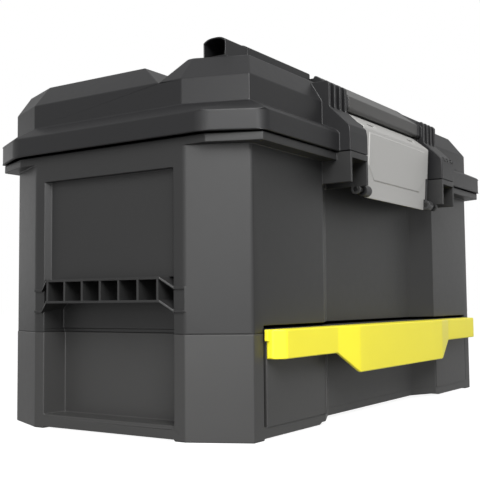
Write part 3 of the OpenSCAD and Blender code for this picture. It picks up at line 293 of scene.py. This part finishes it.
# Boxes of |x|, |y|, z, whether only upright edges count, and their radius
CORNERS = [((233.5, 71, 1), (235.5, 74, 204), True, 2.2),
           ((213, 114, 1), (215.5, 116, 204), True, 2.2)]
RECESS = ((84, 100, 1), (115, 118, 201), True, 1.4)
GRIP = ((212, 0, 84), (245, 80, 118), False, 0.25)
LIP_UNDER_DRAWER = ((0, 98, 8.4), (202, 118, 9.8), False, 0.1)
FOOT_OF_FRONT = ((0, 98, 8.4), (203, 118, 9.8), False, 0.05)
TOP_OF_BODY = ((0, 0, 208.8), (245, 135, 209.2), False, 1.0)
LATCH_EARS = ((55, 118, 172), (90, 142, 192), False, 0.15)
RIM_CORNERS = ((205, 85, 209), (245, 135, 227), True, 6.5)
TOP_OF_LID = ((0, 0, 268), (245, 135, 270), False, 1.6)
FOOT_OF_RIM = ((113, 85, 209), (245, 135, 209.5), False, 1.0)
SPECIAL = {
    "base_shell": [*CORNERS, RECESS, LIP_UNDER_DRAWER],
    "upper_body": [*CORNERS, RECESS, GRIP, TOP_OF_BODY, LATCH_EARS],
    "drawer_front": [RECESS, FOOT_OF_FRONT],
    "lid_shell": [RIM_CORNERS, TOP_OF_LID, FOOT_OF_RIM],
}
# Flats that the picture has elsewhere: axis, level, new level
SHIFT = {
    "upper_body": [(2, 200, 202.6), (0, 237.9, 234.5)], "drawer_front": [(2, 9.4, 9.04)],
    "rail_left": [(2, 270.7, 271.9)], "rail_right": [(2, 270.7, 271.9)],
}
for node, radius in EDGE_RADIUS.items():
    segments = 4 if node == "lid_shell" else 2
    rounded_copy(node, radius, SPECIAL.get(node, ()), segments, shift=SHIFT.get(node, ()))
print("rounded:", ", ".join(EDGE_RADIUS))

# %% Pins, screws and balls
SMALL_RADIUS = {
    "latch_pins": 0.1, "hinge_pins": 0.3, "handle_pins": 0.3, "shell_screws": 0.1,
    "slide_outer_screws": 0.1, "slide_inner_screws": 0.1, "drawer_front_screws": 0.1,
    "drawer_pull_screws": 0.1, "ball_cage_left": 0, "ball_cage_right": 0,
    "slide_balls_left": 0, "slide_balls_right": 0,
}
for node, radius in SMALL_RADIUS.items():
    rounded_copy(node, radius, turn=40)
print("also rounded:", ", ".join(SMALL_RADIUS))

# %% [markdown]
# ## Surfaces from outlines
#
# Three pieces show more of their shape than a rounded edge: the yellow pull, the
# sleeve on the handle and the pressed latch plate. Each is worked out afresh as a
# surface of two parameters. The first two are outlines carried along x: an outline
# is a short list of corners, which may change along the way, and each corner is
# softened into a short curve. The number of corners stays the same all along, so
# the points of the surface form one grid.

# %% Outline helpers
def soften(corners, reach, steps=5, closed=True):
    """Softens the corners of an outline, or of many at once; the last axis holds coordinates.

    Each corner becomes a parabola: (1-t)^2 start + 2t(1-t) corner + t^2 end, for t from
    0 to 1, whose start and end lie at `reach` from the corner along its two sides, or at
    45 % of the shorter side where that is less. An open line keeps its two ends.
    """
    back = np.roll(corners, 1, axis=-2) - corners
    on = np.roll(corners, -1, axis=-2) - corners
    back_length = np.linalg.norm(back, axis=-1, keepdims=True)
    on_length = np.linalg.norm(on, axis=-1, keepdims=True)
    reach = np.broadcast_to(reach, corners.shape[:-1])[..., None]
    reach = np.minimum(reach, 0.45 * np.minimum(back_length, on_length))
    start = (corners + back / np.maximum(back_length, 1e-9) * reach)[..., None, :]
    end = (corners + on / np.maximum(on_length, 1e-9) * reach)[..., None, :]
    t = np.linspace(0, 1, steps)[:, None]
    arcs = (1 - t) ** 2 * start + 2 * t * (1 - t) * corners[..., None, :] + t ** 2 * end
    if closed:
        return arcs.reshape(*corners.shape[:-2], -1, corners.shape[-1])
    inner = arcs[1:-1].reshape(-1, corners.shape[-1])
    return np.concatenate([corners[:1], inner, corners[-1:]])


def grid_faces(rows, columns, wrap=False):
    """Quads between the neighbours of a grid of points; wrap joins each row's end to its start."""
    row = np.arange(rows - 1)[:, None]
    column = np.arange(columns if wrap else columns - 1)[None, :]
    on = (column + 1) % columns
    return np.stack([row * columns + column, row * columns + on,
                     (row + 1) * columns + on, (row + 1) * columns + column], axis=-1)


def carried(x, corners, reach):
    """Closed surface of outlines that stand across x: point (i, j) is corner j at x[i]."""
    rings = soften(corners, reach)
    count = rings.shape[1]
    along = np.broadcast_to(x[:, None, None], (len(x), count, 1))
    faces = grid_faces(len(x), count, wrap=True).reshape(-1, 4).tolist()
    first = np.arange(count)
    faces += [first.tolist(), (first + count * (len(x) - 1))[::-1].tolist()]
    return np.concatenate([along, rings], axis=-1).reshape(-1, 3), faces


def end_round(low, high, radius, steps=6):
    """Stations near both ends, and a function that gives the inset of a rounded end.

    The inset at a distance s past the start of the round is r - sqrt(r^2 - s^2).
    """
    def inset_at(x):
        past = np.maximum(0, radius - np.minimum(x - low, high - x))
        return radius - np.sqrt(np.maximum(0, radius ** 2 - past ** 2))

    arc = radius * (1 - np.sin(np.linspace(0, np.pi / 2, steps)))
    return np.concatenate([low + arc, high - arc]), inset_at


def surface_piece(name, node, parts):
    """One piece from the (points, faces) of its parts, in millimetres, all facing out."""
    shell = bmesh.new()
    for points, faces in parts:
        part = bpy.data.meshes.new(name)
        part.from_pydata((points * MM).tolist(), [], faces)
        shell.from_mesh(part)
        bpy.data.meshes.remove(part)
    bmesh.ops.remove_doubles(shell, verts=shell.verts, dist=0.001 * MM)
    bmesh.ops.dissolve_degenerate(shell, edges=shell.edges, dist=0.001 * MM)
    bmesh.ops.recalc_face_normals(shell, faces=shell.faces)
    mesh = bpy.data.meshes.new(name)
    shell.to_mesh(mesh)
    shell.free()
    mesh.shade_smooth()
    piece = bpy.data.objects.new(name, mesh)
    bpy.context.scene.collection.objects.link(piece)
    print(name, len(mesh.vertices), "points")
    return piece


# %% [markdown]
# ## The yellow pull
#
# The pull is a bar along the top of the drawer. Between two knees it comes
# forward and down into a tab, with a thin wall in front of the finger space and a
# cover over it. One table of stations holds where the front, the lower edge and
# the inner wall lie at each x; softening that table rounds the knees.

# %% Drawer pull
PULL_Y, PULL_TOP, COVER = -115.85, 75.2, 2.5
HALF_PULL, PULL_END, KNEE = 199.8, 1.2, 2.0
half_table = np.array([
    # x, front, lower edge, inner wall
    [88.5, -132.95, 38.7, -130.35],
    [117.1, -128.35, 55.0, -125.75],
    [119.4, -128.35, 55.0, PULL_Y],
    [192.8, -128.35, 55.0, PULL_Y],
    [HALF_PULL, -121.35, 55.0, PULL_Y],
])
table = np.concatenate([half_table[::-1] * [-1, 1, 1, 1], half_table])
line = soften(table, KNEE, closed=False)
ends, inset_at = end_round(-HALF_PULL, HALF_PULL, PULL_END)
between = line[:, 0][np.abs(line[:, 0]) < HALF_PULL - PULL_END - 0.2]
x = np.unique(np.concatenate([between, ends]))
front, lower, inner = (np.interp(x, line[:, 0], line[:, k]) for k in (1, 2, 3))
inset = inset_at(x)
rear, top, roof = PULL_Y - inset, PULL_TOP - inset, np.full(len(x), PULL_TOP - COVER)
outline = np.stack([
    np.stack([rear, top], -1), np.stack([front + inset, top], -1),
    np.stack([front + inset, lower + inset], -1), np.stack([inner - inset, lower + inset], -1),
    np.stack([inner - inset, roof], -1), np.stack([rear, roof], -1)], axis=1)
bar = carried(x, outline, np.array([0.3, 1.1, 1.1, 0.7, 0.7, 0.3]))

# %% Lugs at the ends of the pull
LUG_INNER, LUG_OUTER, LUG_FRONT, LUG_FOOT, LUG_ROUND = 197.8, 202.2, -118.9, 67.12, 0.8


def lug(low, high):
    """A small rounded block, also an outline carried along x."""
    x, inset_at = end_round(low[0], high[0], LUG_ROUND)
    x = np.unique(x)
    inset = inset_at(x)[:, None]
    signs = np.array([[1, 1], [1, -1], [-1, -1], [-1, 1]])
    square = np.array([[low[1], low[2]], [low[1], high[2]], [high[1], high[2]], [high[1], low[2]]])
    return carried(x, square + signs * inset[..., None], LUG_ROUND)


lugs = [lug((-LUG_OUTER, LUG_FRONT, LUG_FOOT), (-LUG_INNER, PULL_Y, PULL_TOP)),
        lug((LUG_INNER, LUG_FRONT, LUG_FOOT), (LUG_OUTER, PULL_Y, PULL_TOP))]
dress(surface_piece("pull_moulded", "drawer_pull", [bar, *lugs]), "drawer_pull")

# %% [markdown]
# ## The sleeve
#
# The sleeve's outline is that of the handle's bar: a low upright front, a long
# slope up to the crest, and a hollow under the rear for the fingers. Towards each
# end the outline shrinks a little about its middle, which rounds the end's edge.

# %% Handle sleeve
HALF_SLEEVE, SLEEVE_END, HALF_HEIGHT = 72.2, 0.8, 14
SLEEVE = np.array([[-119, 252], [-117, 250], [-97.5, 250], [-90.5, 261], [-90.5, 276.2],
                   [-92.5, 280.2], [-94.5, 280.2], [-118, 262.6], [-119, 261.6]])
SLEEVE_ROUNDS = np.array([1.2, 2.0, 2.5, 3.0, 2.0, 1.2, 1.2, 1.2, 1.2])
ends, inset_at = end_round(-HALF_SLEEVE, HALF_SLEEVE, SLEEVE_END)
x = np.unique(np.concatenate([ends, np.linspace(-70, 70, 9)]))
centre = SLEEVE.mean(axis=0)
scale = 1 - inset_at(x)[:, None, None] / HALF_HEIGHT
sleeve = carried(x, centre + (SLEEVE - centre) * scale, SLEEVE_ROUNDS)
dress(surface_piece("sleeve_stretched", "handle_grip", [sleeve]), "handle_grip")

# %% [markdown]
# ## The pressed latch plate
#
# The plate is one sheet: a profile in y and z, bent over at the top and down
# again into a hook, with columns of points across it. A field in the middle is
# pressed forward. Its lower corners are cut off, so the columns lean with the cut
# and one of them always lies on the field's edge. Cells outside the stepped
# outline and inside the two slots are left out. Solidify gives the thickness, and
# a Bevel modifier rounds the rim and the edges of the field.

# %% Latch plate: its profile
HALF_PLATE, PLATE_FOOT, PLATE_TOP = 69.5, 178.4, 236.0
FOOT_STEP, FOOT_HALF, SIDE_STEP, SIDE_HALF = 188.2, 62.0, 208.0, 65.3
FIELD_X, FIELD_LOW, FIELD_HIGH, FIELD_RISE = 60.0, 193.5, 232.6, 0.8
CUT_X, CUT_Z = 11.5, 12.0
SLOT_X, SLOT_HALF, SLOT_FRONT, SLOT_REAR = 42.4, 8.0, 5.2, 7.8
SHEET, RIM_ROUND = 1.5, 0.3


def plate_y(z):
    """The front leans forward in a straight line from the foot to the top bend."""
    return np.interp(z, [PLATE_FOOT, PLATE_TOP], [-127.5, -130.8])


level = np.array([PLATE_FOOT, 183, FOOT_STEP, FIELD_LOW, FIELD_LOW + FIELD_RISE, 200,
                  FIELD_LOW + CUT_Z, SIDE_STEP, 220, FIELD_HIGH - FIELD_RISE, FIELD_HIGH])
flat = np.stack([plate_y(level), level], -1)
bend = np.array([[plate_y(PLATE_TOP), PLATE_TOP], [-115.1, 248.8], [-113.0, 247.6],
                 [-113.0, 243.2]])
slant = bend[1] - bend[0]
slots = bend[0] + slant * ((np.array([SLOT_FRONT, SLOT_REAR]) / slant[0])[:, None])
over = soften(np.concatenate([flat[-1:], bend[:1], slots, bend[1:]]),
              np.array([0, 1.6, 0, 0, 0.9, 0.9, 0]), closed=False)
over = over[1:][np.linalg.norm(np.diff(over, axis=0), axis=-1) > 0.01]
path = np.concatenate([flat, over])
along = np.gradient(path, axis=0)
outward = np.stack([-along[:, 1], along[:, 0]], -1)
outward /= np.linalg.norm(outward, axis=-1, keepdims=True)
print("plate profile:", len(path), "points")

# %% Latch plate: columns across the profile
half = np.array([10, 20, 30, SLOT_X - SLOT_HALF, SLOT_X, SLOT_X + SLOT_HALF, 56,
                 FIELD_X - FIELD_RISE, FIELD_X, 61, FOOT_HALF, SIDE_HALF, HALF_PLATE])
across = np.concatenate([-half[::-1], [0], half])
away, side, z = np.abs(across), np.sign(across), path[:, 1]
# The field's edge at each level, the columns inside it, and those between it and the foot's side
edge = (FIELD_X - CUT_X * np.clip(1 - (z - FIELD_LOW) / CUT_Z, 0, 1))[:, None]
in_field = away * edge / FIELD_X
beyond = edge + np.interp(away, [FIELD_X, FOOT_HALF], [0, 1]) * (FOOT_HALF - edge)
x = side * np.where(away >= FOOT_HALF, away, np.where(away <= FIELD_X, in_field, beyond))
rise = np.minimum(np.clip(FIELD_X - away, 0, FIELD_RISE),
                  np.clip(np.minimum(z - FIELD_LOW, FIELD_HIGH - z), 0, FIELD_RISE)[:, None])
rise[len(flat):] = 0
points = np.concatenate([x[..., None],
                         path[:, None, :] + outward[:, None, :] * rise[..., None]], axis=-1)
faces = grid_faces(*x.shape)
column_middle = np.abs((across[1:] + across[:-1]) / 2)
row_y, row_z = ((path[1:] + path[:-1]) / 2).T[..., None]
widest = np.where(row_z < FOOT_STEP, FOOT_HALF, np.where(row_z < SIDE_STEP, SIDE_HALF, HALF_PLATE))
slotted = ((np.abs(column_middle - SLOT_X) < SLOT_HALF) & (row_y > slots[0, 0])
           & (row_y < slots[1, 0]) & (row_z > PLATE_TOP))
kept = (column_middle < widest) & ~slotted
print("latch plate:", int(kept.sum()), "cells,", int(slotted.sum()), "left out for the slots")

# %% Latch plate: sheet and rim
mesh = bpy.data.meshes.new("plate_pressed")
mesh.from_pydata((points.reshape(-1, 3) * MM).tolist(), [], faces[kept].tolist())
mesh.shade_smooth()
plate = bpy.data.objects.new("plate_pressed", mesh)
bpy.context.scene.collection.objects.link(plate)
sheet = plate.modifiers.new("sheet", "SOLIDIFY")
sheet.thickness = SHEET * MM
sheet.offset = -1
rim = plate.modifiers.new("rim", "BEVEL")
rim.width = RIM_ROUND * MM
rim.segments = 2
rim.angle_limit = np.radians(30)
rim.use_clamp_overlap = False
rim.loop_slide = False
dress(plate, "latch_plate")

# %% [markdown]
# ## Camera
#
# The camera stands low in front of the left end, at the height of the drawer,
# and looks a little upwards. Its place and lens were found by matching corners
# of the box, whose sizes are known, to where they appear in the picture.

# %% Camera
EYE = Vector((-702.7, -430.7, 94.6)) * MM
YAW, PITCH, ROLL = np.radians([56.294, 4.072, -0.551])
FOCAL_PIXELS, PICTURE_PIXELS, SENSOR = 862.5, 480, 36

ahead = Vector((np.sin(YAW) * np.cos(PITCH), np.cos(YAW) * np.cos(PITCH), np.sin(PITCH)))
level_right = Vector((np.cos(YAW), -np.sin(YAW), 0))
level_up = level_right.cross(ahead)
right = level_right * np.cos(ROLL) + level_up * np.sin(ROLL)
up = level_up * np.cos(ROLL) - level_right * np.sin(ROLL)

camera = bpy.data.objects.new("camera", bpy.data.cameras.new("camera"))
bpy.context.scene.collection.objects.link(camera)
bpy.context.scene.camera = camera
camera.matrix_world = Matrix.Translation(EYE) @ Matrix((right, up, -ahead)).transposed().to_4x4()
camera.data.sensor_width = SENSOR
camera.data.lens = FOCAL_PIXELS * SENSOR / PICTURE_PIXELS
camera.data.clip_start, camera.data.clip_end = 0.01, 50
print("lens", round(camera.data.lens, 2), "mm")

# %% [markdown]
# ## Floor, backdrop and light
#
# The picture's ground is plain white. The world is white to the camera, but
# lights the box only as a dull sky would. The floor is white too and keeps a soft
# shadow, because only part of its white comes from itself. The key lamp stands
# where the corner chamfers mirror it into the camera. The main lamp, above the
# left front, draws the shadows under the rim, the latch brackets and the pull.
# Three weak ones let the walls that neither reaches show their edges.

# %% Floor
def self_lit(shader, add, join, to_camera, to_glossy):
    """Adds white to a surface, at one level for camera rays and at another for reflections."""
    path = add("ShaderNodeLightPath")
    mirrored = add("ShaderNodeMath", operation="MULTIPLY")
    join(path, "Is Glossy Ray", mirrored, "Value")
    mirrored.inputs[1].default_value = to_glossy
    level = add("ShaderNodeMath", operation="MULTIPLY_ADD")
    join(path, "Is Camera Ray", level, "Value")
    level.inputs[1].default_value = to_camera
    level.id_data.links.new(mirrored.outputs[0], level.inputs[2])
    join(level, "Value", shader, "Emission Strength")
    shader.inputs["Emission Color"].default_value = (1, 1, 1, 1)


FLOOR_HALF, FLOOR_GREY, FLOOR_TO_CAMERA, FLOOR_TO_GLOSSY = 6.0, 0.2, 0.92, 0.36
floor_material, floor_shader, add, join = new_material("white floor")
floor_shader.inputs["Base Color"].default_value = (FLOOR_GREY, FLOOR_GREY, FLOOR_GREY, 1)
floor_shader.inputs["Roughness"].default_value = 0.9
self_lit(floor_shader, add, join, FLOOR_TO_CAMERA, FLOOR_TO_GLOSSY)
floor_mesh = bpy.data.meshes.new("floor")
floor_mesh.from_pydata([(x * FLOOR_HALF, y * FLOOR_HALF, 0) for x, y in
                        ((-1, -1), (1, -1), (1, 1), (-1, 1))], [], [(0, 1, 2, 3)])
floor = bpy.data.objects.new("floor", floor_mesh)
floor_mesh.materials.append(floor_material)
bpy.context.scene.collection.objects.link(floor)
print("floor:", 2 * FLOOR_HALF, "m square")

# %% World
world = bpy.data.worlds.new("studio")
bpy.context.scene.world = world
world.use_nodes = True
sky = world.node_tree.nodes["Background"]
sky.inputs["Color"].default_value = (1, 1, 1, 1)
rays = world.node_tree.nodes.new("ShaderNodeLightPath")
CAMERA_LEVEL, GLOSSY_LEVEL, SKY_LEVEL = 1.0, 0.55, 0.18
# Each kind of ray adds its own level less the sky's, and all rays start from the sky's
level = None
for ray, share in (("Is Camera Ray", CAMERA_LEVEL), ("Is Transmission Ray", CAMERA_LEVEL),
                   ("Is Glossy Ray", GLOSSY_LEVEL)):
    part = world.node_tree.nodes.new("ShaderNodeMath")
    part.operation = "MULTIPLY_ADD"
    part.inputs[1].default_value = share - SKY_LEVEL
    part.inputs[2].default_value = SKY_LEVEL
    world.node_tree.links.new(rays.outputs[ray], part.inputs[0])
    if level:
        world.node_tree.links.new(level.outputs[0], part.inputs[2])
    level = part
world.node_tree.links.new(level.outputs[0], sky.inputs["Strength"])
print("world strength:", CAMERA_LEVEL, "to the camera,", SKY_LEVEL, "to the box")

# %% Lamps
def soft_lamp(name, place, target, size, power):
    """A square lamp of the given size in metres, aimed at a target."""
    lamp = bpy.data.objects.new(name, bpy.data.lights.new(name, "AREA"))
    lamp.data.size, lamp.data.energy = size, power
    lamp.location = place
    lamp.rotation_euler = (Vector(place) - Vector(target)).to_track_quat("Z", "Y").to_euler()
    bpy.context.scene.collection.objects.link(lamp)


MIDDLE = (0, 0, 0.14)
LAMPS = [
    # name, place and size in metres, power in watts
    ("key", (-1.65, -0.38, 0.32), 0.6, 5),
    ("main", (-1.17, -1.03, 1.23), 1.1, 47),
    ("left front", (-0.5, -1.7, 0.3), 0.5, 1.4),
    ("right", (2.0, -0.35, 0.3), 0.5, 1),
    ("rear", (0.3, 2.0, 0.35), 0.5, 1),
]
for name, place, size, power in LAMPS:
    soft_lamp(name, place, MIDDLE, size, power)
print("lamps:", len(LAMPS))

# %% Colour
bpy.context.scene.view_settings.view_transform = "Standard"
